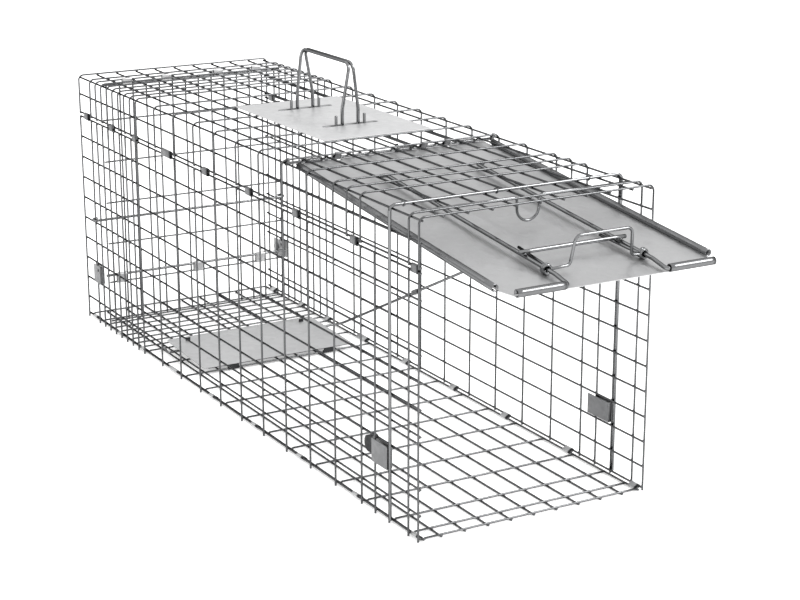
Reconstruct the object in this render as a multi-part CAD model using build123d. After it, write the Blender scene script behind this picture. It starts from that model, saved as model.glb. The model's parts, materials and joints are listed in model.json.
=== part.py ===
from build123d import *
import os
from math import sin, cos, tan, atan, radians, degrees, sqrt, pi

# Single-door wire cage live catch trap, built from welded mesh panels joined
# by wrapped clips.  Units are millimetres.  X is across, Y runs from the open
# mouth toward the rear, Z is up.  Working coordinates have Y = 0 at the plane
# of the first mesh wire; everything is shifted by -Y_MID when written.

# ---------------------------------------------------------------- dimensions
MESH = 2.0                    # mesh wire diameter
R = MESH / 2
PITCH = 25.4                  # longitudinal wire pitch
U = 17.63                     # base pitch of the transverse wires
SIDE_X = 126.0                # axis of the upright side wires
LONG_X = SIDE_X - MESH        # axis of the longitudinal side wires
TOP_Z = 303.8                 # axis of the top transverse wires
LONG_Z = TOP_Z - MESH         # axis of the top longitudinal wires
SEAM_LO = 253.4               # side panel's highest longitudinal wire
SEAM_HI = 258.4               # top panel flange's lowest longitudinal wire
BEND_R = 6.0                  # bend of the top wires at the long edges
FLOOR_LONG_Z = 1.0            # axis of the floor's longitudinal wires
FLOOR_CROSS_Z = 3.0           # axis of the floor's transverse wires
EDGE_X, EDGE_Z = 120.6, 1.7   # the floor panel's two edge wires
STEPS = [0, 1, 3, 6, 9, 12, 15, 18, 21, 24, 27, 30, 33, 36,
         37, 38, 39, 40, 41, 42, 43, 44, 46]          # wire stations, in U
TOP_EXTRA = 7.5               # extra top wire that catches the lock frame
SIDE_EXTRA = 4.5              # extra side wire that carries the door stop
LENGTH = 46 * U
CLIP_AT = [0.5, 6.85, 13.5, 19.5, 25.5, 31.4, 36.5, 40.5, 45.0]
ROD = 3.0                     # stiffening and operating rod diameter
SHEET = 0.8                   # sheet metal thickness

HINGE_Y, HINGE_Z = 268.0, 299.3      # door hinge axis
DOOR_OPEN = 5.6               # slope of the set (open) door, degrees
DOOR_HALF = 112.0             # to the axis of the rolled side edges
DOOR_LEN = 389.2              # hinge to the axis of the rolled front edge
EDGE_R = 3.5                  # rolled side edge radius
FRONT_R = 3.75                # rolled front edge radius
ARM_X = 51.0                  # lock frame arms
ARM_R = 1.9
ARM_W = 3.9                   # arm axis above the door's hinge plane
FRONT_W = 1.4                 # axis of the rolled front edge, same plane
SIDE_W = 0.6                  # axis of the rolled side edges, same plane
CROSS_V = 321.0               # cross rod, distance from the door hinge
EYE_V = 355.0                 # handle pivot, distance from the door hinge
HANDLE_R = 1.4

TREADLE_Y = 30 * U            # treadle pivot wire
TREADLE_Z = FLOOR_CROSS_Z
TREADLE_TILT = 2.35           # set slope, degrees
TREADLE_LEN = 107.0
TREADLE_HALF = 96.0
TREADLE_X = -2.5

ROD_X = 119.5                 # trigger rod plane
ROD_LOW = (602.0, 8.3)        # Y, Z of its low bend
ROD_TIP = (50.0, 272.0)       # Y, Z of its front tip

REAR_Y = 43 * U               # rear panel plane
REAR_HINGE_Z = 298.5
REAR_PITCH = 17.12            # spacing of its fourteen uprights
LOCK_ROD_Z = 64.5
PLATE_X0, PLATE_X1 = -50.8, 77.0     # hand guard plate
PLATE_Y0, PLATE_Y1 = 317.0, 529.0
GRIP_X = 13.1
GRIP_Y0, GRIP_Y1 = 377.0, 487.0
GRIP_Z = 371.0
Y_MID = 344.875               # middle of the whole trap, front to rear

os.makedirs("parts", exist_ok=True)
made = {}


# ------------------------------------------------------------------- helpers
def bar(a, b, r=R):
    """Straight round wire between two points."""
    a, b = Vector(*a), Vector(*b)
    d = b - a
    return Solid.make_cylinder(r, d.length, Plane(origin=a, z_dir=d))


def bent(points, r, bend):
    """Round wire along straight runs joined by tangent arcs."""
    pts = [Vector(*p) for p in points]
    edges, start = [], pts[0]
    for i in range(1, len(pts) - 1):
        p, q, s = pts[i - 1], pts[i], pts[i + 1]
        a, b = (p - q).normalized(), (s - q).normalized()
        half = radians(a.get_angle(b)) / 2
        rad = bend[i - 1] if isinstance(bend, (list, tuple)) else bend
        t = rad / tan(half)
        t0, t1 = q + a * t, q + b * t
        mid_dir = (a + b).normalized()
        centre = q + mid_dir * (rad / sin(half))
        mid = centre - mid_dir * rad
        if (t0 - start).length > 1e-6:
            edges.append(Edge.make_line(start, t0))
        edges.append(Edge.make_three_point_arc(t0, mid, t1))
        start = t1
    edges.append(Edge.make_line(start, pts[-1]))
    path = Wire(edges)
    section = Plane(origin=pts[0], z_dir=pts[1] - pts[0]) * Circle(r)
    return sweep(section, path=path)


def box(x0, x1, y0, y1, z0, z1):
    return Pos((x0 + x1) / 2, (y0 + y1) / 2, (z0 + z1) / 2) * Box(
        x1 - x0, y1 - y0, z1 - z0)


def tube_x(x0, x1, y, z, ro, ri):
    a = Plane(origin=(x0, y, z), z_dir=(1, 0, 0))
    return (Solid.make_cylinder(ro, x1 - x0, a)
            - Solid.make_cylinder(ri, x1 - x0, a))


def flat(x):
    """All the solids in a shape or a list of shapes."""
    out = []
    for s in (x if isinstance(x, (list, tuple)) else [x]):
        out += list(s.solids())
    return out


def write(name, shapes):
    made[name] = flat(shapes)


def level(k):
    return PITCH * k


# ------------------------------------------------------------- floor panel
ends = (-3.0, LENGTH + 4.0)
floor = [bar((-EDGE_X + 1.1, k * U, FLOOR_CROSS_Z),
             (EDGE_X - 1.1, k * U, FLOOR_CROSS_Z)) for k in STEPS]
floor += [bar((PITCH * i, ends[0] + 2, FLOOR_LONG_Z),
              (PITCH * i, ends[1] - 2, FLOOR_LONG_Z)) for i in range(-4, 5)]
floor += [bar((s * EDGE_X, ends[0] + 2, EDGE_Z),
              (s * EDGE_X, ends[1] - 2, EDGE_Z)) for s in (-1, 1)]
write("floor_panel", floor)

# -------------------------------------------------------------- side panels
side_levels = [3.8] + [level(i) for i in range(1, 10)] + [SEAM_LO]
for name, s in (("left_side_panel", -1), ("right_side_panel", 1)):
    w = [bar((s * SIDE_X, k * U, 0.0), (s * SIDE_X, k * U, SEAM_LO + 1.4))
         for k in sorted(STEPS + [SIDE_EXTRA])]
    w += [bar((s * LONG_X, -1.0, z), (s * LONG_X, LENGTH + 2.0, z))
          for z in side_levels]
    write(name, w)

# ------------------------------------------------------- top panel, flanges
cx = SIDE_X - BEND_R
cz = TOP_Z - BEND_R
top = []
top_steps = sorted(STEPS + [TOP_EXTRA])
for k in top_steps:
    top.append(bar((-cx, k * U, TOP_Z), (cx, k * U, TOP_Z)))
top += [bar((PITCH * i, -1.0, LONG_Z), (PITCH * i, LENGTH + 2.0, LONG_Z))
        for i in range(-4, 5)]
write("top_panel", top)
for name, s in (("top_left_flange", -1), ("top_right_flange", 1)):
    w = []
    for k in top_steps:
        y = k * U
        w.append(bar((s * SIDE_X, y, SEAM_HI - 1.2), (s * SIDE_X, y, cz)))
        arc = Edge.make_three_point_arc(
            (s * SIDE_X, y, cz),
            (s * (cx + BEND_R * cos(pi / 4)), y, cz + BEND_R * sin(pi / 4)),
            (s * cx, y, TOP_Z))
        w.append(sweep(Plane(origin=(s * SIDE_X, y, cz), z_dir=(0, 0, 1))
                       * Circle(R), path=arc))
    inner = BEND_R - MESH
    w.append(bar((s * (cx + inner * cos(pi / 4)), -1.0, cz + inner * sin(pi / 4)),
                 (s * (cx + inner * cos(pi / 4)), LENGTH + 2.0,
                  cz + inner * sin(pi / 4))))
    for z in (SEAM_HI, 280.7):
        w.append(bar((s * LONG_X, -1.0, z), (s * LONG_X, LENGTH + 2.0, z)))
    write(name, w)


# ------------------------------------------------------- wrapped sheet clips
def clip(a, b, y, length, gap=0.06, t=0.9):
    """Sheet clip wrapped round two parallel wires at (x, z) = a and b."""
    (ax, az), (bx, bz) = a, b
    d = sqrt((bx - ax) ** 2 + (bz - az) ** 2)
    ux, uz = (bx - ax) / d, (bz - az) / d
    pl = Plane(origin=(ax, y - length / 2, az), x_dir=(ux, 0, uz),
               z_dir=(0, 1, 0))

    def stadium(r):
        return (Circle(r) + Pos(d, 0) * Circle(r)
                + Pos(d / 2, 0) * Rectangle(d, 2 * r))
    ring = stadium(R + gap + t) - stadium(R + gap)
    return extrude(pl * ring, amount=length)


def clip_len(k):
    return 24.0 if k == 31.4 else 12.5


# the clips sit between the upright wires
for name, s in (("left_seam_clips", -1), ("right_seam_clips", 1)):
    write(name, [clip((s * LONG_X, SEAM_LO), (s * LONG_X, SEAM_HI),
                      k * U, clip_len(k) if k < 36 else 12.5)
                 for k in CLIP_AT])
for name, s in (("left_floor_clips", -1), ("right_floor_clips", 1)):
    write(name, [clip((s * LONG_X, 3.8), (s * EDGE_X, EDGE_Z),
                      k * U, clip_len(k) if k < 36 else 12.5, gap=0.02, t=0.6)
                 for k in CLIP_AT])

# --------------------------------------------------- inverted U front stiffener
sx, sy, sz = SIDE_X + 0.5, 3 * U - R - ROD / 2, TOP_Z + 0.5
write("front_stiffener_rod",
      bent([(-sx, sy, 3.0), (-sx, sy, sz), (sx, sy, sz), (sx, sy, 3.0)],
           ROD / 2, 6.0))
ring = []
for x in (-112.0, -14.0, 88.0):
    # C rings tie the stiffener to the third top wire
    y0, y1 = 3 * U, sy
    pl = Plane(origin=(x - 1.2, (y0 + y1) / 2, TOP_Z + 0.2), x_dir=(0, 1, 0),
               z_dir=(1, 0, 0))
    outer = SlotCenterToCenter(2.6, 5.4)
    hole = SlotCenterToCenter(2.6, 3.6)
    ring.append(extrude(pl * (outer - hole), amount=2.4))
write("stiffener_rings", ring)

# --------------------------------------------------------- hanging U loop
lr = 1.25
ly, lz = U + R + lr + 0.05, LONG_Z + R + lr
loop = bent([(-112.0, ly, lz), (-12.0, ly, lz), (-12.0, ly, 281.5),
             (12.0, ly, 281.5), (12.0, ly, lz), (112.0, ly, lz)],
            lr, [4.0, 11.9, 11.9, 4.0])
write("mouth_loop", loop)


# ----------------------------------------------------- front and rear stops
def side_plate(s, y0, y1, z0, z1, catch_y0=None, catch_y1=None, ry=0, depth=0,
               trim=12):
    """Folded plate clamped on an upright, with a rounded catch inside."""
    xo = s * (SIDE_X + R + 0.05)                  # outer leaf, inner face
    xi = s * (SIDE_X - R - 2.0 - 0.05)            # inner leaf, outer face
    def bx(xa, xb, ya, yb, za, zb):
        return box(min(xa, xb), max(xa, xb), ya, yb, za, zb)
    outer = bx(xo, xo + s * SHEET, y0, y1, z0, z1)
    inner = bx(xi, xi - s * SHEET, y0, y1 + 6, z0 + 1, z1 - 1)
    fold = bx(xo + s * SHEET, xi - s * SHEET, y0 - SHEET, y0, z0 + 1, z1 - 1)
    if catch_y0 is None:
        return outer + inner + fold
    mid = (catch_y0 + catch_y1) / 2
    zc = (z0 + z1) / 2
    tongue = extrude(Plane(origin=(xi, mid, zc), x_dir=(0, 1, 0),
                           z_dir=(-s, 0, 0))
                     * SlotOverall(catch_y1 - catch_y0, z1 - z0 - trim),
                     amount=SHEET)
    lug = extrude(Plane(origin=(xi - s * SHEET, catch_y1 - ry, zc),
                        x_dir=(0, 1, 0), z_dir=(-s, 0, 0)) * Circle(ry),
                  amount=depth)
    return outer + inner + fold + tongue + lug


def slots(s, shape, ys, zs):
    """Cut room for the uprights and longitudinals that pass through."""
    for z in zs:
        shape = shape - bar((s * LONG_X, -5, z), (s * LONG_X, LENGTH + 5, z),
                            R + 0.05)
    for y in ys:
        shape = shape - bar((s * SIDE_X, y, 0), (s * SIDE_X, y, 254), R + 0.05)
        shape = shape - box(min(s * (SIDE_X - 0.2), s * SIDE_X),
                            max(s * (SIDE_X - 0.2), s * SIDE_X),
                            y - 1.05, y + 1.05, 0, 254)
    return shape


for name, s in (("left_front_stop", -1), ("right_front_stop", 1)):
    # only the left plate carries the rounded catch
    catch = (66.0, 106.0, 8.2, 8.0, 6.0) if s < 0 else ()
    p = side_plate(s, 3 * U + 1.9, 4.5 * U + 4, 52.2, 74.8, *catch)
    write(name, slots(s, p, [4.5 * U], []))
for name, s in (("left_rear_stop", -1), ("right_rear_stop", 1)):
    p = side_plate(s, 43.3 * U + 1.2, 44 * U + 9, 52.2, 74.8,
                   43.3 * U + 1.2, 44 * U + 12, 4.5, 2.2)
    p = p - Solid.make_cylinder(2.0, 12, Plane(origin=(s * 121, 43.3 * U + 7, 69),
                                               z_dir=(s, 0, 0)))
    write(name, slots(s, p, [44 * U], []))

# ------------------------------------------------------------ rear cross rod
rr = 1.6
ky = R + rr + 0.1


def curl(s):
    X = s * SIDE_X
    return [(X + s * ky * 1.0, 44 * U - ky, 131.0),
            (X + s * ky * 1.0, 44 * U + ky, 131.0 + 1.2),
            (X - s * 3.6, 44 * U + ky, 131.0 + 1.6)]


left = curl(-1)[::-1]
right = curl(1)
write("rear_cross_rod",
      bent(left[:2] + [left[2]] + right[:1] + right[1:], rr, 2.6))

# ------------------------------------------------- hand guard and carry grip
gz = TOP_Z + R + 0.0
guard = box(PLATE_X0, PLATE_X1, PLATE_Y0, PLATE_Y1, gz, gz + SHEET)
feet_y = (GRIP_Y0 + 3.0, GRIP_Y1 - 3.0)
for fy in feet_y:
    guard -= Pos(GRIP_X, fy, gz + SHEET / 2) * extrude(
        Plane.XY * SlotOverall(66, 7.4), amount=4, both=True)
write("hand_guard", guard)
grips = []
for s in (-1, 1):
    x1 = GRIP_X + s * 1.85
    x0 = GRIP_X + s * 9.5
    grips.append(bent(
        [(x0, GRIP_Y0 + 3.0, TOP_Z - 3.4), (x0, GRIP_Y0 + 3.0, 322.0),
         (x1, GRIP_Y0, GRIP_Z), (x1, GRIP_Y1, GRIP_Z),
         (x0, GRIP_Y1 - 3.0, 322.0), (x0, GRIP_Y1 - 3.0, TOP_Z - 3.4)],
        1.8, [30, 9, 9, 30]))
write("carry_handle", grips)
pegs = []
for fy in feet_y:
    for s in (-1, 1):
        x = GRIP_X + s * 17.0
        pegs.append(bent([(x, fy, gz + 11.0), (x, fy, TOP_Z - 5.0),
                          (GRIP_X + s * 4.0, fy, TOP_Z - 5.0)], 1.5, 3.0))
write("handle_anchors", pegs)


# --------------------------------------------------------------------- door
# built level, hinge axis at the origin, v toward the front along -Y, w up
def place_door(shape, extra=0.0):
    return Pos(0, HINGE_Y, HINGE_Z) * (Rot(DOOR_OPEN + extra, 0, 0) * shape)


SW = -(ROD / 2 + 0.05 + SHEET)                 # underside of the sheet
plate = make_face(Polyline(
    (-DOOR_HALF, 0), (DOOR_HALF, 0), (DOOR_HALF, -372), (103.0, -DOOR_LEN),
    (-103.0, -DOOR_LEN), (-DOOR_HALF, -372), (-DOOR_HALF, 0)))
sheet = extrude(Plane(origin=(0, 0, SW)) * plate, amount=SHEET)
mid_w = SW + SHEET / 2
# rolled side edges: open tubes
for s in (-1, 1):
    tw = SIDE_W
    o = Solid.make_cylinder(EDGE_R, 356, Plane(origin=(s * DOOR_HALF, -370, tw),
                                               z_dir=(0, 1, 0)))
    h = Solid.make_cylinder(EDGE_R - SHEET, 356,
                            Plane(origin=(s * DOOR_HALF, -370, tw),
                                  z_dir=(0, 1, 0)))
    sheet = (sheet - h) + (o - h)
for x0, x1 in ((-103.0, -54.5), (54.5, 103.0)):
    c = Plane(origin=(x0, -DOOR_LEN, FRONT_W), z_dir=(1, 0, 0))
    o = Solid.make_cylinder(FRONT_R, x1 - x0, c)
    h = Solid.make_cylinder(ARM_R + 0.07, x1 - x0, c)
    sheet = (sheet - h) + (o - h)
# rear knuckles curled round the hinge rod, between the mesh wires
for x0, x1 in ((-98, -80), (3.7, 21.7), (80, 98)):
    k = tube_x(x0, x1, 0, 0, ROD / 2 + 0.05 + SHEET, ROD / 2 + 0.05)
    sheet = sheet + k
gap = Solid.make_cylinder(ROD / 2 + 0.05, 2 * DOOR_HALF + 20,
                          Plane(origin=(-DOOR_HALF - 10, 0, 0), z_dir=(1, 0, 0)))
sheet = sheet - gap
# notches where the hinge straps pass
STRAPS = ((-119.0, 2.8), (-63.5, 7.0), (36.0, 7.0), (63.5, 7.0), (119.0, 2.8))
for x, w in STRAPS[1:-1]:
    sheet = sheet - box(x - w / 2 - 0.6, x + w / 2 + 0.6, -3.4, 5, -4, 4)
# two shallow stiffening beads pressed upward, between the arms
for x in (-26.0, 26.0):
    bead = Pos(x, -200, SW + SHEET) * extrude(
        Plane.XY * SlotOverall(230, 12, rotation=90), amount=0.7)
    sheet = sheet + bead
write("door_plate", place_door(sheet))
write("door_hinge_rod",
      bar((-121.0, HINGE_Y, HINGE_Z), (121.0, HINGE_Y, HINGE_Z),
          ROD / 2))
hang = []
hy = 15 * U
for x, w in STRAPS:
    d = sqrt((HINGE_Y - hy) ** 2 + (TOP_Z - HINGE_Z) ** 2)
    ux, uz = (HINGE_Y - hy) / d, (HINGE_Z - TOP_Z) / d
    pl = Plane(origin=(x - w / 2, hy, TOP_Z), x_dir=(0, ux, uz), z_dir=(1, 0, 0))

    def egg(g):
        return (Circle(R + g) + Pos(d, 0) * Circle(ROD / 2 + g)
                + make_face(Polyline((0, R + g), (d, ROD / 2 + g),
                                     (d, -ROD / 2 - g), (0, -R - g), (0, R + g))))
    hang.append(extrude(pl * (egg(0.72) - egg(0.02)), amount=w))
write("door_hinge_straps", hang)

# --------------------------------------------------------------- lock frame
# pair of arms pivoting in the rolled front edge, tied by a cross rod
ARM_TOP_V = 80.0
arm_solids = []
for s in (-1, 1):
    pts = [(s * 99.0, -DOOR_LEN, FRONT_W), (s * ARM_X, -DOOR_LEN, FRONT_W),
           (s * ARM_X, -DOOR_LEN + 20, ARM_W), (s * ARM_X, -ARM_TOP_V, ARM_W),
           (s * (ARM_X + 8.5), -ARM_TOP_V, ARM_W)]
    arm_solids.append(bent(pts, ARM_R, [3.4, 12, 3.0]))
cross = bar((-ARM_X - 6, -CROSS_V, ARM_W + ARM_R * 2),
            (ARM_X + 6, -CROSS_V, ARM_W + ARM_R * 2), ARM_R)
write("lock_frame_arms", place_door(arm_solids[0]).solids()
      + place_door(arm_solids[1]).solids())
write("lock_frame_cross_rod", place_door(cross))

# -------------------------------------------------------------- lock handle
# one wire: straight leg, coiled eye on the arm, raised crank, eye, leg
hr = HANDLE_R
eye_R = ARM_R + 0.3 + hr
body = bent([(-ARM_X + eye_R - 0.3, -EYE_V, ARM_W), (-26.5, -EYE_V, ARM_W),
             (-22.5, -EYE_V, ARM_W + 26.0), (37.0, -EYE_V, ARM_W + 26.0),
             (38.5, -EYE_V, ARM_W), (ARM_X - eye_R + 0.3, -EYE_V, ARM_W)],
            hr, [4.0, 6.0, 6.0, 3.4])
for s in (-1, 1):
    body = body + Solid.make_cylinder(
        eye_R + hr, 8.4, Plane(origin=(s * ARM_X, -EYE_V - 4.2, ARM_W),
                               z_dir=(0, 1, 0)))
    lx = s * (ARM_X - eye_R)
    body = body + bar((lx, -EYE_V + 2.6, ARM_W),
                      (lx - s * 4.0, -CROSS_V + 21, ARM_W), hr)
for s in (-1, 1):
    body = body - Solid.make_cylinder(
        eye_R - hr, 8.6, Plane(origin=(s * ARM_X, -EYE_V - 4.3, ARM_W),
                               z_dir=(0, 1, 0)))
write("lock_handle", place_door(body))

# ------------------------------------------------------------------ treadle
t0, t1 = -1.86, TREADLE_LEN


def place_treadle(shape):
    return Pos(0, TREADLE_Y, TREADLE_Z) * (Rot(TREADLE_TILT, 0, 0) * shape)


pw = 4.4                                       # plate underside above the pivot
tread = box(TREADLE_X - TREADLE_HALF, TREADLE_X + TREADLE_HALF, t0, t1,
            pw, pw + SHEET)
tread = fillet(tread.edges().filter_by(Axis.Z), 5.0)
for x in (-61.0, 62.0):
    ringk = tube_x(x - 6.5, x + 6.5, 0, 0, R + 0.06 + SHEET, R + 0.06)
    web = box(x - 6.5, x + 6.5, -(R + 0.06 + SHEET), -(R + 0.06), 0, pw + SHEET)
    tread = tread + ringk + web
for x in (-76.0, 74.0):
    tread = tread + box(x - 3, x + 3, 93, 93 + SHEET, pw, pw + 4.6)
write("treadle", place_treadle(tread))

# -------------------------------------------------------------- trigger rod
slope = (ROD_TIP[1] - ROD_LOW[1]) / (ROD_LOW[0] - ROD_TIP[0])
write("trigger_rod", bent(
    [(ROD_X, ROD_TIP[0], ROD_TIP[1]), (ROD_X, ROD_LOW[0], ROD_LOW[1]),
     (-111.0, ROD_LOW[0], ROD_LOW[1]), (-116.0, ROD_LOW[0], ROD_LOW[1] + 9.0)],
    ROD / 2, [9.0, 4.0]))
ang = degrees(atan(slope))
guides = []
for k in (12, 24):
    y = k * U
    z = ROD_LOW[1] + (ROD_LOW[0] - y) * slope
    g = box(-1.9 - 0.8, 3.4, -6, 6, -2.8, 2.8) - box(-1.9, 1.9, -7, 7, -2.0, 2.0)
    g = Pos(ROD_X, y, z) * (Rot(-ang, 0, 0) * g)
    tab = box(ROD_X + 2.2, SIDE_X - 1.04, y - 3, y + 3, z - 1.2, z + 1.2)
    near = [lz for lz in side_levels + [SEAM_HI] if abs(lz - z) < 5]
    g = g + tab
    for lz in near:
        g = g - bar((LONG_X, y - 20, lz), (LONG_X, y + 20, lz), R + 0.02)
    g = g - bar((SIDE_X, y, 0), (SIDE_X, y, 254), R + 0.02)
    guides.append(g)
write("trigger_rod_guides", guides)

# --------------------------------------------------------------- rear panel
rx = 117.5
rear = [bar((x, REAR_Y + MESH, 4.9), (x, REAR_Y + MESH, REAR_HINGE_Z + 0.9))
        for x in [REAR_PITCH * (i + 0.5) for i in range(-7, 7)]]
for z in (6.2, 55.4, 104.1, 155.0, 205.7, 256.5, REAR_HINGE_Z):
    rear.append(bar((-rx, REAR_Y, z), (rx, REAR_Y, z)))
write("rear_panel", rear)
write("rear_lock_rod", bar((-122.2, REAR_Y - 0.6, LOCK_ROD_Z),
                           (122.2, REAR_Y - 0.6, LOCK_ROD_Z), 1.6))
cc = []
for x in (-6 * REAR_PITCH, 0.0, 5 * REAR_PITCH):
    pl = Plane(origin=(x - 6, REAR_Y, 55.4), x_dir=(0, -0.6 / 9.1, 1), z_dir=(1, 0, 0))
    d = sqrt(9.1 ** 2 + 0.6 ** 2)

    def pear(g):
        return (Circle(R + g) + Pos(d, 0) * Circle(1.6 + g)
                + make_face(Polyline((0, R + g), (d, 1.6 + g), (d, -1.6 - g),
                                     (0, -R - g), (0, R + g))))
    cc.append(extrude(pl * (pear(0.82) - pear(0.02)), amount=12))
write("lock_rod_clips", cc)
rh = []
for x in (-5 * REAR_PITCH, -2 * REAR_PITCH, 2 * REAR_PITCH, 5 * REAR_PITCH):
    d = TOP_Z - REAR_HINGE_Z
    pl = Plane(origin=(x - 6, REAR_Y, REAR_HINGE_Z), x_dir=(0, 0, 1), z_dir=(1, 0, 0))

    def ring2(g):
        return (Circle(R + g) + Pos(d, 0) * Circle(R + g)
                + Pos(d / 2, 0) * Rectangle(d, 2 * (R + g)))
    rh.append(extrude(pl * (ring2(0.86) - ring2(0.06)), amount=12))
write("rear_hinge_clips", rh)

# -------------------------------------------------------------------- export
lo = [1e9] * 3
hi = [-1e9] * 3
for name, solids in made.items():
    bb = Compound(children=list(solids)).bounding_box()
    for i, (a, b) in enumerate(zip((bb.min.X, bb.min.Y, bb.min.Z),
                                   (bb.max.X, bb.max.Y, bb.max.Z))):
        lo[i], hi[i] = min(lo[i], a), max(hi[i], b)
print("box", [round(v, 3) for v in lo], [round(v, 3) for v in hi],
      "Y middle", round((lo[1] + hi[1]) / 2, 3))
for name, solids in made.items():
    moved = [Pos(0, -Y_MID, 0) * s for s in solids]
    one = Compound(children=moved)
    one.label = name
    export_step(one, f"parts/{name}.step")
    print(name, len(solids))
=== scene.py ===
import bpy, bmesh, json, random
from math import sin, cos, pi, radians, sqrt, atan2, hypot, atan
from mathutils import Vector, Matrix

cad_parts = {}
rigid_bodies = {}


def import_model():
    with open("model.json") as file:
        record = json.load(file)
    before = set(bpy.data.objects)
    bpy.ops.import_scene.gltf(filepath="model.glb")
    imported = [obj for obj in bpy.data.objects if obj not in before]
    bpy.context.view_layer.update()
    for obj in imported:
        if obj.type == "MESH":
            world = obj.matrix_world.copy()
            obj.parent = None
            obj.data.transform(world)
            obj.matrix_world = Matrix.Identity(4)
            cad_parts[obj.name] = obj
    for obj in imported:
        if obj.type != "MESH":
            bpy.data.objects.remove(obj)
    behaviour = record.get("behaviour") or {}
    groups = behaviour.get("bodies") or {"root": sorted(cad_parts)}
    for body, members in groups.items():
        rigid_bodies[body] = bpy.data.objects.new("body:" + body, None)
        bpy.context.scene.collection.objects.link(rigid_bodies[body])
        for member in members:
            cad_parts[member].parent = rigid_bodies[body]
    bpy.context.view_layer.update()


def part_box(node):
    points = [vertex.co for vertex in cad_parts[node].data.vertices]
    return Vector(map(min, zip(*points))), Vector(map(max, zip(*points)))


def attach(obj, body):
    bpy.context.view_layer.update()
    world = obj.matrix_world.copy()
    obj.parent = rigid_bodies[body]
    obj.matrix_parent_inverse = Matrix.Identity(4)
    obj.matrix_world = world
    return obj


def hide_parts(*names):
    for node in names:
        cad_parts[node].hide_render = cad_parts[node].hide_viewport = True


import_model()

RNG = random.Random(20)
S = 0.001

# ------------------------------------------------ measures, mm, as in the CAD
YM = -1.0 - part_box("floor_panel")[0][1] / S        # front plane to the origin
R = 1.0
PITCH = 25.4
U = 17.63
SIDE_X, LONG_X = 126.0, 124.0
TOP_Z, LONG_Z = 303.8, 301.8
SEAM_LO, SEAM_HI = 253.4, 258.4
BEND_R = 6.0
EDGE_X, EDGE_Z = 120.6, 1.7
STEPS = [0, 1, 3, 6, 9, 12, 15, 18, 21, 24, 27, 30, 33, 36,
         37, 38, 39, 40, 41, 42, 43, 44, 46]
LENGTH = 46 * U
CLIP_AT = [0.5, 6.85, 13.5, 19.5, 25.5, 31.4, 36.5, 40.5, 45.0]
HINGE_Y, HINGE_Z, OPEN = 268.0, 299.3, radians(5.6)
DOOR_HALF, DOOR_LEN = 112.0, 389.2
EDGE_R, FRONT_R, FRONT_W, SIDE_W = 3.5, 3.75, 1.4, 0.6
ARM_X, ARM_R, ARM_W, CROSS_V, EYE_V, ARM_TOP_V = 51.0, 1.9, 3.9, 321.0, 355.0, 80.0
HR = 1.4
REAR_Y, REAR_HINGE_Z, LOCK_ROD_Z = 43 * U, 298.5, 64.5
GRIP_X, GRIP_Y0, GRIP_Y1, GRIP_Z = 13.1, 377.0, 487.0, 371.0
PLATE = (-50.8, 77.0, 317.0, 529.0)
TILT = radians(2.35)
TR_Y, TR_Z, TR_X, TR_HALF, TR_LEN = 30 * U, 3.0, -2.5, 96.0, 107.0
ROD_X, ROD_LOW, ROD_TIP = 119.5, (602.0, 8.3), (50.0, 272.0)


def W(x, y, z):
    """Working coordinates to the row frame, in metres."""
    return Vector((x * S, (y - YM) * S, z * S))


def D(x, v, w):
    """Door coordinates: v from the hinge to the front, w above its plane."""
    return W(x, HINGE_Y - v * cos(OPEN) - w * sin(OPEN),
             HINGE_Z - v * sin(OPEN) + w * cos(OPEN))


def T(x, y, z):
    """Treadle coordinates, from its pivot wire."""
    return W(x, TR_Y + y * cos(TILT) - z * sin(TILT),
             TR_Z + y * sin(TILT) + z * cos(TILT))


# ------------------------------------------------------------------ materials
def nodes_of(name):
    m = bpy.data.materials.new(name)
    m.use_nodes = True
    nt = m.node_tree
    return m, nt, nt.nodes, nt.links, nt.nodes["Principled BSDF"]


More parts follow.
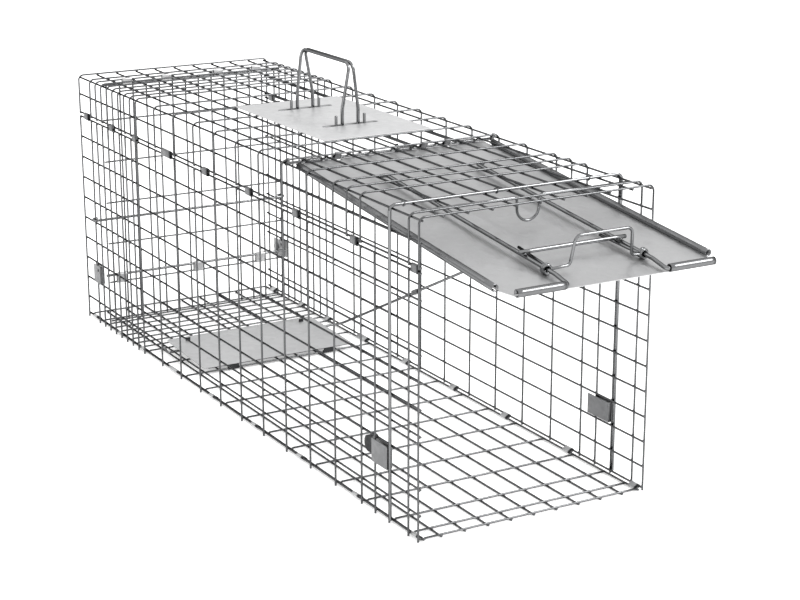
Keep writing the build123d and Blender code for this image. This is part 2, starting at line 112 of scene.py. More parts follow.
def metal(name, base, rough, metallic=1.0, edge=1.0, spangle=0.0, grain=900.0, grain_amt=0.10,
          bump=0.05, dark=0.75, spangle_scale=110.0, blotch=35.0, stretch=(1, 1, 1)):
    """Zinc-coated steel: spangle cells, fine grain, soft blotches."""
    m, nt, N, L, P = nodes_of(name)
    P.inputs["Metallic"].default_value = metallic
    P.inputs["Specular Tint"].default_value = (edge, edge, edge, 1)
    tc = N.new("ShaderNodeTexCoord")
    mp = N.new("ShaderNodeMapping")
    mp.inputs["Scale"].default_value = stretch
    L.new(tc.outputs["Object"], mp.inputs["Vector"])
    vo = N.new("ShaderNodeTexVoronoi")
    vo.inputs["Scale"].default_value = spangle_scale
    vo.inputs["Randomness"].default_value = 1.0
    L.new(mp.outputs["Vector"], vo.inputs["Vector"])
    hsv = N.new("ShaderNodeSeparateColor")
    L.new(vo.outputs["Color"], hsv.inputs["Color"])
    n1 = N.new("ShaderNodeTexNoise")
    n1.inputs["Scale"].default_value = blotch
    n1.inputs["Detail"].default_value = 5
    L.new(mp.outputs["Vector"], n1.inputs["Vector"])
    n2 = N.new("ShaderNodeTexNoise")
    n2.inputs["Scale"].default_value = grain
    n2.inputs["Detail"].default_value = 3
    L.new(mp.outputs["Vector"], n2.inputs["Vector"])
    # colour: base, blotches toward a darker zinc, spangle facets
    mix = N.new("ShaderNodeMix"); mix.data_type = "RGBA"
    ramp = N.new("ShaderNodeMapRange")
    ramp.inputs["From Min"].default_value = 0.35
    ramp.inputs["From Max"].default_value = 0.7
    ramp.inputs["To Max"].default_value = 0.55
    L.new(n1.outputs["Fac"], ramp.inputs["Value"])
    L.new(ramp.outputs["Result"], mix.inputs["Factor"])
    mix.inputs["A"].default_value = (*base, 1)
    mix.inputs["B"].default_value = (*[c * dark for c in base], 1)
    bc = N.new("ShaderNodeMix"); bc.data_type = "RGBA"; bc.blend_type = "MULTIPLY"
    bc.inputs["Factor"].default_value = 1.0
    mr = N.new("ShaderNodeMapRange")
    mr.inputs["To Min"].default_value = 1.0 - spangle
    mr.inputs["To Max"].default_value = 1.0
    L.new(hsv.outputs["Red"], mr.inputs["Value"])
    L.new(mix.outputs["Result"], bc.inputs["A"])
    L.new(mr.outputs["Result"], bc.inputs["B"])
    L.new(bc.outputs["Result"], P.inputs["Base Color"])
    # roughness
    rr = N.new("ShaderNodeMapRange")
    rr.inputs["From Min"].default_value = 0.3
    rr.inputs["From Max"].default_value = 0.7
    rr.inputs["To Min"].default_value = max(0.03, rough - grain_amt)
    rr.inputs["To Max"].default_value = rough + grain_amt
    L.new(n2.outputs["Fac"], rr.inputs["Value"])
    ra = N.new("ShaderNodeMath"); ra.operation = "MULTIPLY_ADD"
    ra.inputs[1].default_value = 0.14 if spangle else 0.05
    L.new(hsv.outputs["Green"], ra.inputs[0])
    L.new(rr.outputs["Result"], ra.inputs[2])
    L.new(ra.outputs["Value"], P.inputs["Roughness"])
    b = N.new("ShaderNodeBump")
    b.inputs["Strength"].default_value = bump
    b.inputs["Distance"].default_value = 0.0004
    ad = N.new("ShaderNodeMath"); ad.operation = "ADD"
    L.new(n2.outputs["Fac"], ad.inputs[0])
    L.new(n1.outputs["Fac"], ad.inputs[1])
    L.new(ad.outputs["Value"], b.inputs["Height"])
    L.new(b.outputs["Normal"], P.inputs["Normal"])
    return m


M_WIRE = metal("bright_galvanised_wire", (0.122, 0.124, 0.127), 0.16, edge=0.1, bump=0.06,
               grain=700, grain_amt=0.07, dark=0.82, blotch=60)
M_ROD = metal("bright_zinc_rod", (0.205, 0.208, 0.212), 0.12, edge=0.15, bump=0.04,
              grain=1200, grain_amt=0.06, dark=0.86, blotch=45)
M_DOOR = metal("galvanised_door_sheet", (0.452, 0.454, 0.458), 0.34, metallic=0.80,
               spangle=0.04, bump=0.03, grain=1400, grain_amt=0.04, dark=0.965,
               blotch=14, spangle_scale=150)
# the door sheet itself with a darker base colour than galvanised_door_sheet: painted shade on the rolled edges
M_ROLL_PAINTED_SHADE = metal("rolled_edge_painted_shade", (0.185, 0.187, 0.191), 0.20, metallic=0.95, edge=0.4,
               spangle=0.05, bump=0.04, grain=1400, grain_amt=0.06, dark=0.85,
               blotch=20, spangle_scale=150)
M_PLATE = metal("galvanised_plate", (0.585, 0.587, 0.591), 0.38, metallic=0.70,
                spangle=0.07, bump=0.05, grain=1400, grain_amt=0.06, dark=0.94,
                blotch=10, spangle_scale=160)
M_TREAD = metal("galvanised_treadle", (0.53, 0.532, 0.536), 0.40, metallic=0.70,
                spangle=0.08, bump=0.05, grain=1400, grain_amt=0.06, dark=0.93,
                blotch=12, spangle_scale=150)
M_CLIP = metal("zinc_clip_strip", (0.175, 0.177, 0.181), 0.40, metallic=0.9,
               spangle=0.10, bump=0.08, grain=1500, grain_amt=0.08, dark=0.8,
               blotch=120, spangle_scale=400)
M_STOP = metal("zinc_stop_plate", (0.215, 0.217, 0.221), 0.36, metallic=0.9,
               spangle=0.10, bump=0.06, grain=1500, grain_amt=0.08, dark=0.85,
               blotch=80, spangle_scale=260)
# the same clip strip as zinc_clip_strip with a much lighter base colour: painted highlight on the floor, rear hinge and
# lock bar wraps
M_STRIP_PAINTED_HIGHLIGHT = metal("clip_strip_painted_highlight", (0.50, 0.502, 0.506), 0.34, metallic=0.9,
                spangle=0.08, bump=0.06, grain=1500, grain_amt=0.06, dark=0.85,
                blotch=120, spangle_scale=400)

# near-black material used as painted shade: clip mouths, stop-plate lugs, treadle lances and hinge tabs
M_PAINTED_SHADE = metal("painted_shade_near_black", (0.042, 0.043, 0.045), 0.38, metallic=0.9,
               spangle=0.05, bump=0.06, grain=1500, grain_amt=0.08, dark=0.8,
               blotch=120, spangle_scale=400)


# ---------------------------------------------------------------- mesh tools
class Build:
    def __init__(self, name, mat):
        self.name, self.mat = name, mat
        self.v, self.f, self.smooth, self.mi = [], [], [], []

    def add(self, verts, faces, smooth=True, mat=0):
        o = len(self.v)
        self.mi += [mat] * len(faces)
        self.v += [tuple(p) for p in verts]
        self.f += [tuple(o + i for i in q) for q in faces]
        self.smooth += [smooth] * len(faces)

    def tube(self, pts, r, sides=14, cap=0.28):
        """Round wire through pts (metres) with softly chamfered cut ends."""
        r = r * S
        pts = [Vector(p) for p in pts]
        tang = []
        for i in range(len(pts)):
            a = pts[max(i - 1, 0)]
            b = pts[min(i + 1, len(pts) - 1)]
            tang.append((b - a).normalized())
        up = Vector((0, 0, 1)) if abs(tang[0].z) < 0.9 else Vector((1, 0, 0))
        nrm = (up - tang[0] * up.dot(tang[0])).normalized()
        rings = []

        def ring(c, t, n, k):
            b = t.cross(n)
            return [c + (n * cos(2 * pi * j / sides) + b * sin(2 * pi * j / sides)) * k
                    for j in range(sides)]
        c = cap * r
        first = True
        for i, p in enumerate(pts):
            t = tang[i]
            nrm = (nrm - t * nrm.dot(t)).normalized()
            if i == 0:
                rings.append(ring(p, t, nrm, r - c))
                rings.append(ring(p + t * c, t, nrm, r))
            elif i == len(pts) - 1:
                rings.append(ring(p - t * c, t, nrm, r))
                rings.append(ring(p, t, nrm, r - c))
            else:
                rings.append(ring(p, t, nrm, r))
        vs = [q for g in rings for q in g]
        fs = []
        for i in range(len(rings) - 1):
            for j in range(sides):
                a, b = i * sides + j, i * sides + (j + 1) % sides
                fs.append((a, b, b + sides, a + sides))
        self.add(vs, fs)
        n = len(rings) - 1
        self.add([vs[j] for j in range(sides)], [tuple(range(sides))[::-1]], False)
        self.add([vs[n * sides + j] for j in range(sides)], [tuple(range(sides))], False)

    def blob(self, c, d, rx, ry, rz, seg=8, rings=5):
        """Small flattened bead, long axis d in the XY/any plane."""
        d = Vector(d).normalized()
        up = Vector((0, 0, 1)) if abs(d.z) < 0.9 else Vector((1, 0, 0))
        s = d.cross(up).normalized()
        u = s.cross(d)
        vs, fs = [c + d * rx * S], []
        for i in range(1, rings):
            a = pi * i / rings
            for j in range(seg):
                b = 2 * pi * j / seg
                vs.append(c + d * (rx * S * cos(a)) + s * (ry * S * sin(a) * cos(b))
                          + u * (rz * S * sin(a) * sin(b)))
        vs.append(c - d * rx * S)
        for j in range(seg):
            fs.append((0, 1 + (j + 1) % seg, 1 + j))
            k = 1 + (rings - 2) * seg
            fs.append((len(vs) - 1, k + j, k + (j + 1) % seg))
        for i in range(rings - 2):
            for j in range(seg):
                a, b = 1 + i * seg + j, 1 + i * seg + (j + 1) % seg
                fs.append((a, b, b + seg, a + seg))
        self.add(vs, fs)

    def done(self, body, *nodes, slot=None, bevel=0.0):
        me = bpy.data.meshes.new(self.name)
        me.from_pydata(self.v, [], self.f)
        me.polygons.foreach_set("use_smooth", self.smooth)
        me.materials.append(self.mat)
        # faces marked 1 get the near-black material: painted shade
        if any(self.mi):
            me.materials.append(M_PAINTED_SHADE)
            me.polygons.foreach_set("material_index", self.mi)
        me.update()
        o = bpy.data.objects.new(self.name, me)
        bpy.context.scene.collection.objects.link(o)
        if bevel:
            b = o.modifiers.new("edge", "BEVEL")
            b.width = bevel * S
            b.segments = 2
            b.limit_method = "ANGLE"
            b.angle_limit = radians(35)
        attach(o, body)
        if nodes:
            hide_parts(*nodes)
        return o


def path(points, bend, seg=9):
    """Straight runs joined by tangent arcs, sampled."""
    P = [Vector(p) for p in points]
    out = [P[0]]
    for i in range(1, len(P) - 1):
        q = P[i]
        a, b = (P[i - 1] - q).normalized(), (P[i + 1] - q).normalized()
        rad = (bend[i - 1] if isinstance(bend, (list, tuple)) else bend) * S
        half = a.angle(b) / 2
        t = rad / max(1e-6, abs(sin(half) / cos(half))) if half < pi / 2 - 1e-4 else 0
        if t == 0:
            continue
        m = (a + b).normalized()
        c = q + m * (rad / sin(half))
        u0 = (q + a * t) - c
        u1 = (q + b * t) - c
        ang = u0.angle(u1)
        ax = u0.cross(u1).normalized()
        for k in range(seg + 1):
            out.append(c + Matrix.Rotation(ang * k / seg, 3, ax) @ u0)
    out.append(P[-1])
    return out


def straight(a, b, n=14, bow=0.0, lift=0.5):
    """Straight wire with a slight natural bow."""
    a, b = Vector(a), Vector(b)
    d = (b - a).normalized()
    up = Vector((0, 0, 1)) if abs(d.z) < 0.9 else Vector((1, 0, 0))
    s = d.cross(up).normalized()
    u = s.cross(d)
    ph, am = RNG.uniform(0, 2 * pi), bow * S * RNG.uniform(0.4, 1.0)
    ph2 = RNG.uniform(0, 2 * pi)
    out = []
    for i in range(n + 1):
        t = i / n
        e = sin(pi * t)
        out.append(a.lerp(b, t) + s * (am * e * sin(5 * t + ph))
                   + u * (lift * am * e * sin(7 * t + ph2)))
    return out


def weld(bld, c, d, up=0.0):
    """Squeezed weld bead where two wires cross."""
    bld.blob(c, d, 1.75, 1.15, 1.0)


# ------------------------------------------------------------ welded panels
BOW = 0.22
b = Build("floor_mesh", M_WIRE)
for k in STEPS:
    b.tube(straight(W(-EDGE_X + 1.1, k * U, 3.0), W(EDGE_X - 1.1, k * U, 3.0), 12, BOW), R)
for i in range(-4, 5):
    b.tube(straight(W(PITCH * i, -1, 1.0), W(PITCH * i, LENGTH + 2, 1.0), 30, BOW, 0), R)
    for k in STEPS:
        weld(b, W(PITCH * i, k * U, 2.0), (1, 0, 0))
for s in (-1, 1):
    b.tube(straight(W(s * EDGE_X, -1, EDGE_Z), W(s * EDGE_X, LENGTH + 2, EDGE_Z), 30), R)
    for k in STEPS:
        weld(b, W(s * (EDGE_X - 1.0), k * U, 2.4), (1, 0, 0))
b.done("cage", "floor_panel", slot="mesh_wire")

LEVELS = [3.8] + [PITCH * i for i in range(1, 10)] + [SEAM_LO]
for s, nm in ((-1, "left_side"), (1, "right_side")):
    b = Build(nm + "_mesh", M_WIRE)
    for k in sorted(STEPS + [4.5]):
        b.tube(straight(W(s * SIDE_X, k * U, 0.0), W(s * SIDE_X, k * U, SEAM_LO + 1.4), 14, BOW), R)
        for z in LEVELS:
            weld(b, W(s * (SIDE_X - 1.0), k * U, z), (0, 0, 1))
    for z in LEVELS:
        b.tube(straight(W(s * LONG_X, -1, z), W(s * LONG_X, LENGTH + 2, z), 34, BOW), R)
    b.done("cage", nm + "_panel", slot="mesh_wire")

# the top panel is one sheet of mesh, its transverse wires bent down both edges
b = Build("top_mesh", M_WIRE)
for k in sorted(STEPS + [7.5]):
    y = k * U
    j = RNG.uniform(-0.25, 0.25)
    pts = path([W(-SIDE_X, y + j, SEAM_HI - 1.2), W(-SIDE_X, y, TOP_Z), W(SIDE_X, y, TOP_Z),
                W(SIDE_X, y - j, SEAM_HI - 1.2)], BEND_R, 8)
    b.tube(pts, R)
for i in range(-4, 5):
    b.tube(straight(W(PITCH * i, -1, LONG_Z), W(PITCH * i, LENGTH + 2, LONG_Z), 34, BOW), R)
    for k in sorted(STEPS + [7.5]):
        weld(b, W(PITCH * i, k * U, LONG_Z + 1.0), (1, 0, 0))
inner = (BEND_R - 2) * cos(pi / 4)
for s in (-1, 1):
    cx, cz = s * (SIDE_X - BEND_R + inner), TOP_Z - BEND_R + inner
    b.tube(straight(W(cx, -1, cz), W(cx, LENGTH + 2, cz), 34, 0.1), R)
    for z in (SEAM_HI, 280.7):
        b.tube(straight(W(s * LONG_X, -1, z), W(s * LONG_X, LENGTH + 2, z), 34, BOW), R)
        for k in sorted(STEPS + [7.5]):
            weld(b, W(s * (SIDE_X - 1.0), k * U, z), (0, 0, 1))
b.done("cage", "top_panel", "top_left_flange", "top_right_flange", slot="mesh_wire")

b = Build("rear_mesh", M_WIRE)
rx = 117.5
rxs = [17.12 * (i + 0.5) for i in range(-7, 7)]
for x in rxs:
    b.tube(straight(W(x, REAR_Y + 2, 4.9), W(x, REAR_Y + 2, REAR_HINGE_Z + 0.9), 14, BOW), R)
for z in (6.2, 55.4, 104.1, 155.0, 205.7, 256.5, REAR_HINGE_Z):
    b.tube(straight(W(-rx, REAR_Y, z), W(rx, REAR_Y, z), 12, 0.1), R)
    for x in rxs:
        weld(b, W(x, REAR_Y + 1.0, z), (0, 0, 1))
b.done("rear_panel", "rear_panel", slot="mesh_wire")


# --------------------------------------------------------- wrapped sheet clips
def wrap_clip(bld, a, c, y, length, gap, t, lap_side):
    """Strip wrapped round two wires at (x, z) a and c."""
    ax, az = a
    d = hypot(c[0] - ax, c[1] - az)
    ux, uz = (c[0] - ax) / d, (c[1] - az) / d
    nx, nz = -uz, ux

    def outline(r, n=9):
        o = []
        for i in range(n + 1):
            th = pi / 2 + pi * i / n
            o.append((r * cos(th), r * sin(th)))
        for i in range(n + 1):
            th = -pi / 2 + pi * i / n
            o.append((d + r * cos(th), r * sin(th)))
        return o
    ro, ri = R + gap + t, R + gap
    o, i_ = outline(ro), outline(ri)
    n = len(o)
    e = 0.22
    mouth = min(2.6, 0.22 * length)
    stations = [(y - length / 2, ro - e), (y - length / 2 + e, ro),
                (y - length / 2 + mouth, ro), (y - length / 2 + mouth + 0.3, ro - 0.16),
                (y - length / 2 + mouth + 0.8, ro - 0.16), (y - length / 2 + mouth + 1.1, ro),
                (y + length / 2 - e, ro), (y + length / 2, ro - e)]
    vs, fs = [], []
    for yy, r in stations:
        for p, q in outline(r):
            vs.append(W(ax + ux * p + nx * q, yy, az + uz * p + nz * q))
    for yy in (y - length / 2, y + length / 2):
        for p, q in i_:
            vs.append(W(ax + ux * p + nx * q, yy, az + uz * p + nz * q))
    m = len(stations)
    # faces from the first end to the mouth crimp, and that end face, get the near-black material: painted shade in the
    # clip mouth
    dark = []
    for k in range(m - 1):
        for j in range(n):
            a0, a1 = k * n + j, k * n + (j + 1) % n
            (dark if k < 2 else fs).append((a0, a0 + n, a1 + n, a1))
    lo, hi_ = m * n, (m + 1) * n
    for j in range(n):
        j2 = (j + 1) % n
        dark.append((j, j2, lo + j2, lo + j))
        fs.append(((m - 1) * n + j, hi_ + j, hi_ + j2, (m - 1) * n + j2))
        fs.append((lo + j, lo + j2, hi_ + j2, hi_ + j))
    o = len(bld.v)
    bld.add(vs, fs)
    bld.f += [tuple(o + i for i in q) for q in dark]
    bld.smooth += [True] * len(dark)
    bld.mi += [1] * len(dark)


def clip_len(k):
    return 24.0 if k == 31.4 else 12.5


for s, nm in ((-1, "left"), (1, "right")):
    b = Build(nm + "_seam_wraps", M_CLIP)
    for k in CLIP_AT:
        wrap_clip(b, (s * LONG_X, SEAM_LO), (s * LONG_X, SEAM_HI), k * U, clip_len(k), 0.06, 0.85, s)
    b.done("cage", nm + "_seam_clips", slot="clip_sheet")
    b = Build(nm + "_floor_wraps", M_STRIP_PAINTED_HIGHLIGHT)
    for k in CLIP_AT:
        wrap_clip(b, (s * LONG_X, 3.8), (s * EDGE_X, EDGE_Z), k * U, clip_len(k), 0.02, 0.58, s)
    b.done("cage", nm + "_floor_clips", slot="clip_sheet")

# ------------------------------------------------------------------ bent rods
sx, sy, sz = SIDE_X + 0.5, 3 * U - 2.5, TOP_Z + 0.5
b = Build("stiffener", M_ROD)
b.tube(path([W(-sx, sy, 3), W(-sx, sy, sz), W(sx, sy, sz), W(sx, sy, 3)], 6.0, 10), 1.5, 16)
b.done("cage", "front_stiffener_rod", slot="rod_wire")

b = Build("hog_rings", M_ROD)
for x in (-112.0, -14.0, 88.0):
    y0, y1, z = 3 * U, sy, TOP_Z + 0.2
    pts = []
    for i in range(15):
        th = radians(-60 + 330 * i / 14)
        cy = (y0 + y1) / 2
        pts.append(W(x + 0.5 * sin(th), cy + 3.4 * cos(th), z + 2.1 * sin(th)))
    b.tube(pts, 0.6, 8)
b.done("cage", "stiffener_rings", slot="clip_sheet")

lr = 1.25
ly, lz = U + R + lr + 0.05, LONG_Z + R + lr
b = Build("mouth_bail", M_ROD)
b.tube(path([W(-112, ly, lz), W(-12, ly, lz), W(-12, ly, 281.5), W(12, ly, 281.5),
             W(12, ly, lz), W(112, ly, lz)], [4.0, 11.9, 11.9, 4.0], 10), lr, 14)
b.done("cage", "mouth_loop", slot="rod_wire")

b = Build("rear_cross_wire", M_ROD)
ky = R + 1.6 + 0.1
cl = lambda s: [W(s * SIDE_X + s * ky, 44 * U - ky, 131.0),
                W(s * SIDE_X + s * ky, 44 * U + ky, 132.2),
                W(s * SIDE_X - s * 3.6, 44 * U + ky, 132.6)]
b.tube(path(cl(-1)[::-1] + cl(1), 2.6, 8), 1.6, 14)
b.done("cage", "rear_cross_rod", slot="rod_wire")

b = Build("carry_grip", M_ROD)
for s in (-1, 1):
    x1, x0 = GRIP_X + s * 1.85, GRIP_X + s * 9.5
    b.tube(path([W(x0, GRIP_Y0 + 3, TOP_Z - 3.4), W(x0, GRIP_Y0 + 3, 322.0), W(x1, GRIP_Y0, GRIP_Z),
                 W(x1, GRIP_Y1, GRIP_Z), W(x0, GRIP_Y1 - 3, 322.0),
                 W(x0, GRIP_Y1 - 3, TOP_Z - 3.4)], [30, 9, 9, 30], 10), 1.8, 16)
b.done("cage", "carry_handle", slot="rod_wire")

b = Build("grip_anchors", M_ROD)
for fy in (GRIP_Y0 + 3, GRIP_Y1 - 3):
    for s in (-1, 1):
        x = GRIP_X + s * 17.0
        b.tube(path([W(x, fy, TOP_Z + R + 11), W(x, fy, TOP_Z - 5), W(GRIP_X + s * 4, fy, TOP_Z - 5)], 3.0, 8), 1.5, 14)
b.done("cage", "handle_anchors", slot="rod_wire")

b = Build("door_hinge_pin", M_ROD)
b.tube(straight(W(-121, HINGE_Y, HINGE_Z), W(121, HINGE_Y, HINGE_Z), 8), 1.5, 16, 0.4)
b.done("cage", "door_hinge_rod", slot="rod_wire")

b = Build("rear_lock_bar", M_ROD)
b.tube(straight(W(-122.2, REAR_Y - 0.6, LOCK_ROD_Z), W(122.2, REAR_Y - 0.6, LOCK_ROD_Z), 8), 1.6, 16, 0.4)
b.done("rear_panel", "rear_lock_rod", slot="rod_wire")

b = Build("trigger_wire", M_ROD)
b.tube(path([W(ROD_X, *ROD_TIP), W(ROD_X, *ROD_LOW), W(-111, *ROD_LOW),
             W(-116, ROD_LOW[0], ROD_LOW[1] + 9)], [9.0, 4.0], 12), 1.5, 16, 0.5)
b.done("trigger_rod", "trigger_rod", slot="rod_wire")

# ----------------------------------------------------------------- lock frame
b = Build("lock_arms", M_ROD)
for s in (-1, 1):
    b.tube(path([D(s * 99, DOOR_LEN, FRONT_W), D(s * ARM_X, DOOR_LEN, FRONT_W),
                 D(s * ARM_X, DOOR_LEN - 20, ARM_W), D(s * ARM_X, ARM_TOP_V, ARM_W),
                 D(s * (ARM_X + 8.5), ARM_TOP_V, ARM_W)], [3.4, 12, 3.0], 10), ARM_R, 16, 0.4)
b.done("lock_frame", "lock_frame_arms", slot="rod_wire")
b = Build("lock_cross", M_ROD)
b.tube(straight(D(-ARM_X - 6, CROSS_V, ARM_W + 2 * ARM_R), D(ARM_X + 6, CROSS_V, ARM_W + 2 * ARM_R), 8), ARM_R, 16, 0.4)
for s in (-1, 1):
    b.blob(D(s * ARM_X, CROSS_V, ARM_W + ARM_R), (1, 0, 0), 2.6, 2.0, 1.0)
b.done("lock_frame", "lock_frame_cross_rod", slot="rod_wire")

# one wire: leg, three coils round the arm, raised crank, coils, leg
b = Build("lock_crank", M_ROD)
eye_R = ARM_R + 0.3 + HR
for s in (-1, 1):
    pts = [D(s * (ARM_X - eye_R) - s * 4.0, CROSS_V - 21, ARM_W)]
    pts.append(D(s * (ARM_X - eye_R) - s * 0.6, EYE_V - 9, ARM_W))
    turns, n = 2.5, 44
    for i in range(n + 1):
        th = pi + 2 * pi * turns * i / n            # starts on the inner side
        v = EYE_V - 3.0 + 6.0 * i / n
        pts.append(D(s * (ARM_X + eye_R * cos(th)), v, ARM_W + eye_R * sin(th)))
    # leave the coil over the top and run in to the crank
    b.tube(pts, HR, 12)
crank = [D(-(ARM_X - eye_R) - 0.2, EYE_V + 2.0, ARM_W), D(-26.5, EYE_V, ARM_W), D(-22.5, EYE_V, ARM_W + 26),
         D(37.0, EYE_V, ARM_W + 26), D(38.5, EYE_V, ARM_W), D(ARM_X - eye_R + 0.2, EYE_V + 2.0, ARM_W)]
b.tube(path(crank, [4.0, 6.0, 6.0, 3.4], 10), HR, 14)
b.done("lock_handle", "lock_handle", slot="rod_wire")


# ------------------------------------------------------------- small sheet parts
def bevelled_copy(node, name, mat, body, width, second=None, where=None, cut=None):
    """The CAD shape with rounded edges, as its own piece."""
    src = bpy.data.objects[node] if node in bpy.data.objects else None
    if src is None:
        src = next(o for o in bpy.data.objects if o.name.startswith(node))
    me = src.data.copy()
    me.name = name
    bm = bmesh.new()
    bm.from_mesh(me)
    bmesh.ops.remove_doubles(bm, verts=bm.verts, dist=2e-6)
    bmesh.ops.dissolve_limit(bm, angle_limit=radians(1.0), verts=bm.verts, edges=bm.edges)
    if cut:
        bmesh.ops.bisect_plane(bm, geom=bm.verts[:] + bm.edges[:] + bm.faces[:],
                               dist=1e-6, plane_co=W(0, cut, 0), plane_no=(0, 1, 0))
    for f in bm.faces:
        f.smooth = True
        c = f.calc_center_median()
        # faces where `where` holds get the second material; callers pass the near-black painted-shade material
        f.material_index = int(bool(where and where(c.x / S, c.y / S + YM, c.z / S)))
    me.materials.clear()
    me.materials.append(mat)
    if second:
        me.materials.append(second)
    bm.to_mesh(me)
    bm.free()
    o = bpy.data.objects.new(name, me)
    bpy.context.scene.collection.objects.link(o)
    bv = o.modifiers.new("edge", "BEVEL")
    bv.width = width * S
    bv.segments = 2
    bv.limit_method = "ANGLE"
    bv.angle_limit = radians(40)
    bv.harden_normals = True
    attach(o, body)
    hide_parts(node)
    return o


# the left front and both rear stop plates: faces beyond the given y get the near-black material as painted shade
bevelled_copy("left_front_stop", "left_front_stop_plate", M_STOP, "cage", 0.25,
              M_PAINTED_SHADE, lambda x, y, z: y > 4.5 * U + 10, 4.5 * U + 10)
bevelled_copy("right_front_stop", "right_front_stop_plate", M_STOP, "cage", 0.25)
for node in ("left_rear_stop", "right_rear_stop"):
    bevelled_copy(node, node + "_plate", M_STOP, "cage", 0.25, M_PAINTED_SHADE,
                  lambda x, y, z: y > 44 * U + 10)
bevelled_copy("door_hinge_straps", "hinge_strap_wraps", M_CLIP, "cage", 0.15)
bevelled_copy("trigger_rod_guides", "rod_guide_sleeves", M_CLIP, "cage", 0.2)
bevelled_copy("rear_hinge_clips", "rear_hinge_wraps", M_STRIP_PAINTED_HIGHLIGHT, "cage", 0.2)
bevelled_copy("lock_rod_clips", "lock_bar_wraps", M_STRIP_PAINTED_HIGHLIGHT, "rear_panel", 0.2)


def treadle_painted_shade(x, y, z):
    """Lances and hinge tabs, given the near-black material: painted shade."""
    ly = (y - TR_Y) * cos(TILT) + (z - TR_Z) * sin(TILT)
    lz = -(y - TR_Y) * sin(TILT) + (z - TR_Z) * cos(TILT)
    return lz > 5.6 or lz < 3.4


bevelled_copy("treadle", "treadle_pan", M_TREAD, "treadle", 0.28,
              M_PAINTED_SHADE, treadle_painted_shade)
bevelled_copy("hand_guard", "guard_pan", M_PLATE, "cage", 0.25)

# the guard's slots have their edges turned down
b = Build("guard_slot_lips", M_STOP)
for cy in (380.0, 484.0):
    def stadium(h, z, n=12):
        o = []
        for i in range(n + 1):
            a = -pi / 2 + pi * i / n
            o.append(W(GRIP_X + 33 - 3.7 + h * cos(a), cy + h * sin(a), z))
        for i in range(n + 1):
            a = pi / 2 + pi * i / n
            o.append(W(GRIP_X - 33 + 3.7 + h * cos(a), cy + h * sin(a), z))
        return o
    rings = [stadium(3.85, 305.62), stadium(3.3, 305.5), stadium(2.6, 305.0),
             stadium(2.15, 304.1), stadium(2.45, 303.95), stadium(3.0, 304.7),
             stadium(3.85, 304.95)]
    n = len(rings[0])
    vs = [q for g in rings for q in g]
    fs = []
    for k in range(len(rings)):
        k2 = (k + 1) % len(rings)
        for j in range(n):
            j2 = (j + 1) % n
            fs.append((k * n + j, k2 * n + j, k2 * n + j2, k * n + j2))
    b.add(vs, fs)
lips = b.done("cage", slot="plate_sheet")

# ------------------------------------------------------------------------ door
TH = 0.8
SW = -2.35                                    # underside of the sheet


def relief(x, v):
    """Pressed shape of the sheet, mm above flat, never over 1.0."""
    h = 0.0
    if 60 < v < 330:
        e = min(1.0, (v - 60) / 30.0, (330 - v) / 30.0)
        e = e * e * (3 - 2 * e)
        for c in (-26.0, 26.0):
            q = abs(x - c) / 7.0
            if q < 1:
                h += 0.62 * e * (0.5 + 0.5 * cos(pi * q))
    # slack in the thin sheet, fading out at the edges
    f = max(0.0, min(1.0, (100 - abs(x)) / 25, (v - 15) / 30, (DOOR_LEN - 6 - v) / 30))
    h += f * (0.24 + 0.22 * sin(0.043 * x + 0.9) * sin(0.027 * v + 0.5)
              + 0.10 * sin(0.09 * x - 0.031 * v))
    q = hypot(x + 22, v - 272) / 24.0
    if q < 1:
        h += 0.5 * (0.5 + 0.5 * cos(pi * q))
    return min(h, 1.0)


b = Build("door_sheet", M_DOOR)
xs = sorted(set([round(-108.5 + 217.0 * i / 62, 3) for i in range(63)]))
nv = 90


def edge_half(v):
    if v <= 372:
        return 109.0
    return 109.0 - (v - 372) / (DOOR_LEN - 372) * 6.5


notches = [(-63.5, 4.2), (36.0, 4.2), (63.5, 4.2)]
for top in (1, 0):
    vs, fs = [], []
    rows = [0.6 + (DOOR_LEN - 0.6) * i / nv for i in range(nv + 1)]
    for v in rows:
        hw = edge_half(v)
        for x in xs:
            xx = x / 108.5 * hw
            vs.append(D(xx, v, SW + (TH if top else 0.0) + relief(xx, v)))
    nx = len(xs)
    for i in range(nv):
        for j in range(nx - 1):
            xc = (xs[j] + xs[j + 1]) / 2
            if rows[i] < 3.6 and any(abs(xc - c) < w for c, w in notches):
                continue
            a = i * nx + j
            q = (a, a + 1, a + 1 + nx, a + nx)
            fs.append(q if not top else q[::-1])
    b.add(vs, fs)
# front and back rims
for v in (0.6, DOOR_LEN):
    vs, fs = [], []
    for x in xs:
        xx = x / 108.5 * edge_half(v)
        vs += [D(xx, v, SW + relief(xx, v)), D(xx, v, SW + TH + relief(xx, v))]
    for j in range(len(xs) - 1):
        xc = (xs[j] + xs[j + 1]) / 2
        if v < 1 and any(abs(xc - c) < w for c, w in notches):
            continue
        q = (2 * j, 2 * j + 1, 2 * j + 3, 2 * j + 2)
        fs.append(q if v > 1 else q[::-1])
    b.add(vs, fs, False)
# oblique corners
for s in (-1, 1):
    vs = [D(s * 109.0, 372, SW), D(s * 109.0, 372, SW + TH), D(s * 102.5, DOOR_LEN, SW + TH), D(s * 102.5, DOOR_LEN, SW)]
    b.add(vs, [(0, 1, 2, 3) if s < 0 else (3, 2, 1, 0)], False)


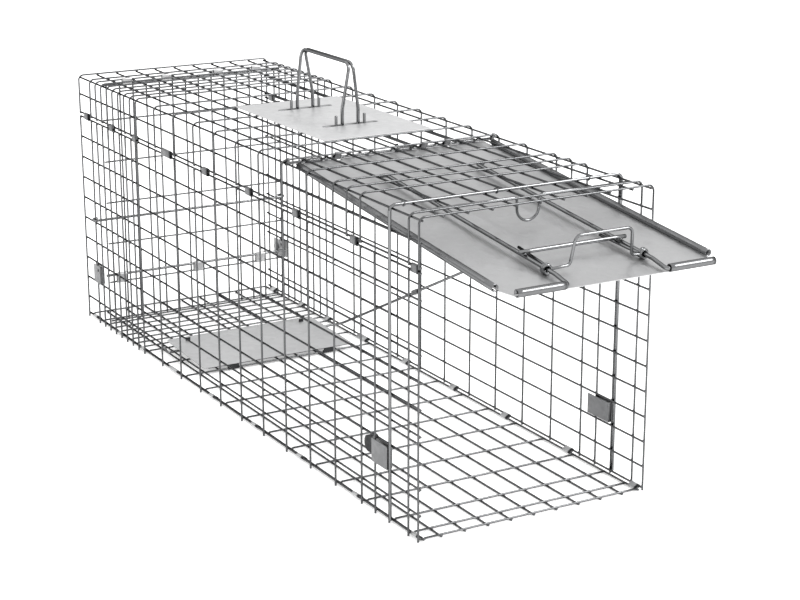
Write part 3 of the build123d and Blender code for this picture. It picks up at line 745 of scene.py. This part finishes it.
def curl(bld, at, n, start, sweep, ro, ends):
    """Rolled edge: an open tube with a lapped lip.  at(u, p, q) places it."""
    vs, fs = [], []
    seg = 30
    prof = []
    for i in range(seg + 1):
        th = radians(start + sweep * i / seg)
        prof.append((cos(th), sin(th)))
    ri = ro - TH
    us = [ends[0] + (ends[1] - ends[0]) * i / n for i in range(n + 1)]
    for u in us:
        for c, s_ in prof:
            vs.append(at(u, ro * c, ro * s_))
        for c, s_ in prof:
            vs.append(at(u, ri * c, ri * s_))
    m = 2 * (seg + 1)
    for i in range(n):
        for j in range(seg):
            a = i * m + j
            fs.append((a, a + 1, a + 1 + m, a + m))
            c = i * m + seg + 1 + j
            fs.append((c + 1, c, c + m, c + 1 + m))
        a, c = i * m + seg, i * m + 2 * seg + 1
        fs.append((a, c, c + m, a + m))
        a, c = i * m, i * m + seg + 1
        fs.append((c, a, a + m, c + m))
    for i, fl in ((0, 0), (n, 1)):
        for j in range(seg):
            a, c = i * m + j, i * m + seg + 1 + j
            q = (a, c, c + 1, a + 1)
            fs.append(q if not fl else q[::-1])
    bld.add(vs, fs)


sheet = b.done("door", "door_plate", slot="door_sheet")
b = Build("door_rolled_edges", M_ROLL_PAINTED_SHADE)
for s in (-1, 1):
    # the sheet's edge turns under and up into the tube, leaving a slit inside
    curl(b, lambda u, p, q, s=s: D(s * (DOOR_HALF + p), u, SIDE_W + q), 24,
         -118, 322, EDGE_R, (14.0, 370.0))
    lo_, hi_ = (54.5, 103.0) if s > 0 else (-103.0, -54.5)
    curl(b, lambda u, p, q: D(u, DOOR_LEN + p, FRONT_W + q), 10,
         -112, 325, FRONT_R, (lo_, hi_))
for x0, x1 in ((-98.0, -80.0), (3.7, 21.7), (80.0, 98.0)):
    curl(b, lambda u, p, q: D(u, p, q), 4, -90, -300, 1.5 + 0.05 + TH, (x0, x1))
rolled = b.done("door", slot="door_sheet")
for o in (sheet, rolled, lips):
    bm = bmesh.new()
    bm.from_mesh(o.data)
    bmesh.ops.recalc_face_normals(bm, faces=bm.faces)
    bm.to_mesh(o.data)
    bm.free()

# --------------------------------------------------------------- stage, light
me = bpy.data.meshes.new("floor")
H = 120.0
me.from_pydata([(-H, -H, 0), (H, -H, 0), (H, H, 0), (-H, H, 0)], [], [(0, 1, 2, 3)])
floor = bpy.data.objects.new("studio_floor", me)
bpy.context.scene.collection.objects.link(floor)
mf, nt, N, L, P = nodes_of("pale_floor")
P.inputs["Base Color"].default_value = (0.93, 0.93, 0.93, 1)
P.inputs["Roughness"].default_value = 0.9
P.inputs["Specular IOR Level"].default_value = 0.1
P.inputs["Emission Color"].default_value = (1.0, 1.0, 1.0, 1)
P.inputs["Emission Strength"].default_value = 0.3
me.materials.append(mf)

world = bpy.data.worlds.new("studio")
bpy.context.scene.world = world
world.use_nodes = True
bg = world.node_tree.nodes["Background"]
bg.inputs["Color"].default_value = (1.0, 1.0, 1.0, 1)
bg.inputs["Strength"].default_value = 0.9


def sun(name, az, el, strength, angle):
    l = bpy.data.lights.new(name, "SUN")
    l.energy = strength
    l.angle = radians(angle)
    o = bpy.data.objects.new(name, l)
    a, e = radians(az), radians(el)
    d = Vector((sin(a) * cos(e), cos(a) * cos(e), sin(e)))     # towards the light
    o.rotation_euler = d.to_track_quat("Z", "Y").to_euler()
    bpy.context.scene.collection.objects.link(o)


sun("key", 131, 40, 2.2, 28)
sun("top", -160, 78, 1.15, 140)
sun("rim", -28, 30, 0.15, 34)

cam_d = bpy.data.cameras.new("camera")
cam_d.lens = 87.87
cam_d.sensor_width = 36.0
cam_d.clip_end = 500
cam = bpy.data.objects.new("camera", cam_d)
bpy.context.scene.collection.objects.link(cam)
cam.location = (-0.9569, (-1409.3 - YM) * S, 0.7169)
cam.rotation_euler = (radians(90 - 16.581), 0, radians(-29.946))
bpy.context.scene.camera = cam
bpy.context.scene.view_settings.view_transform = "Standard"
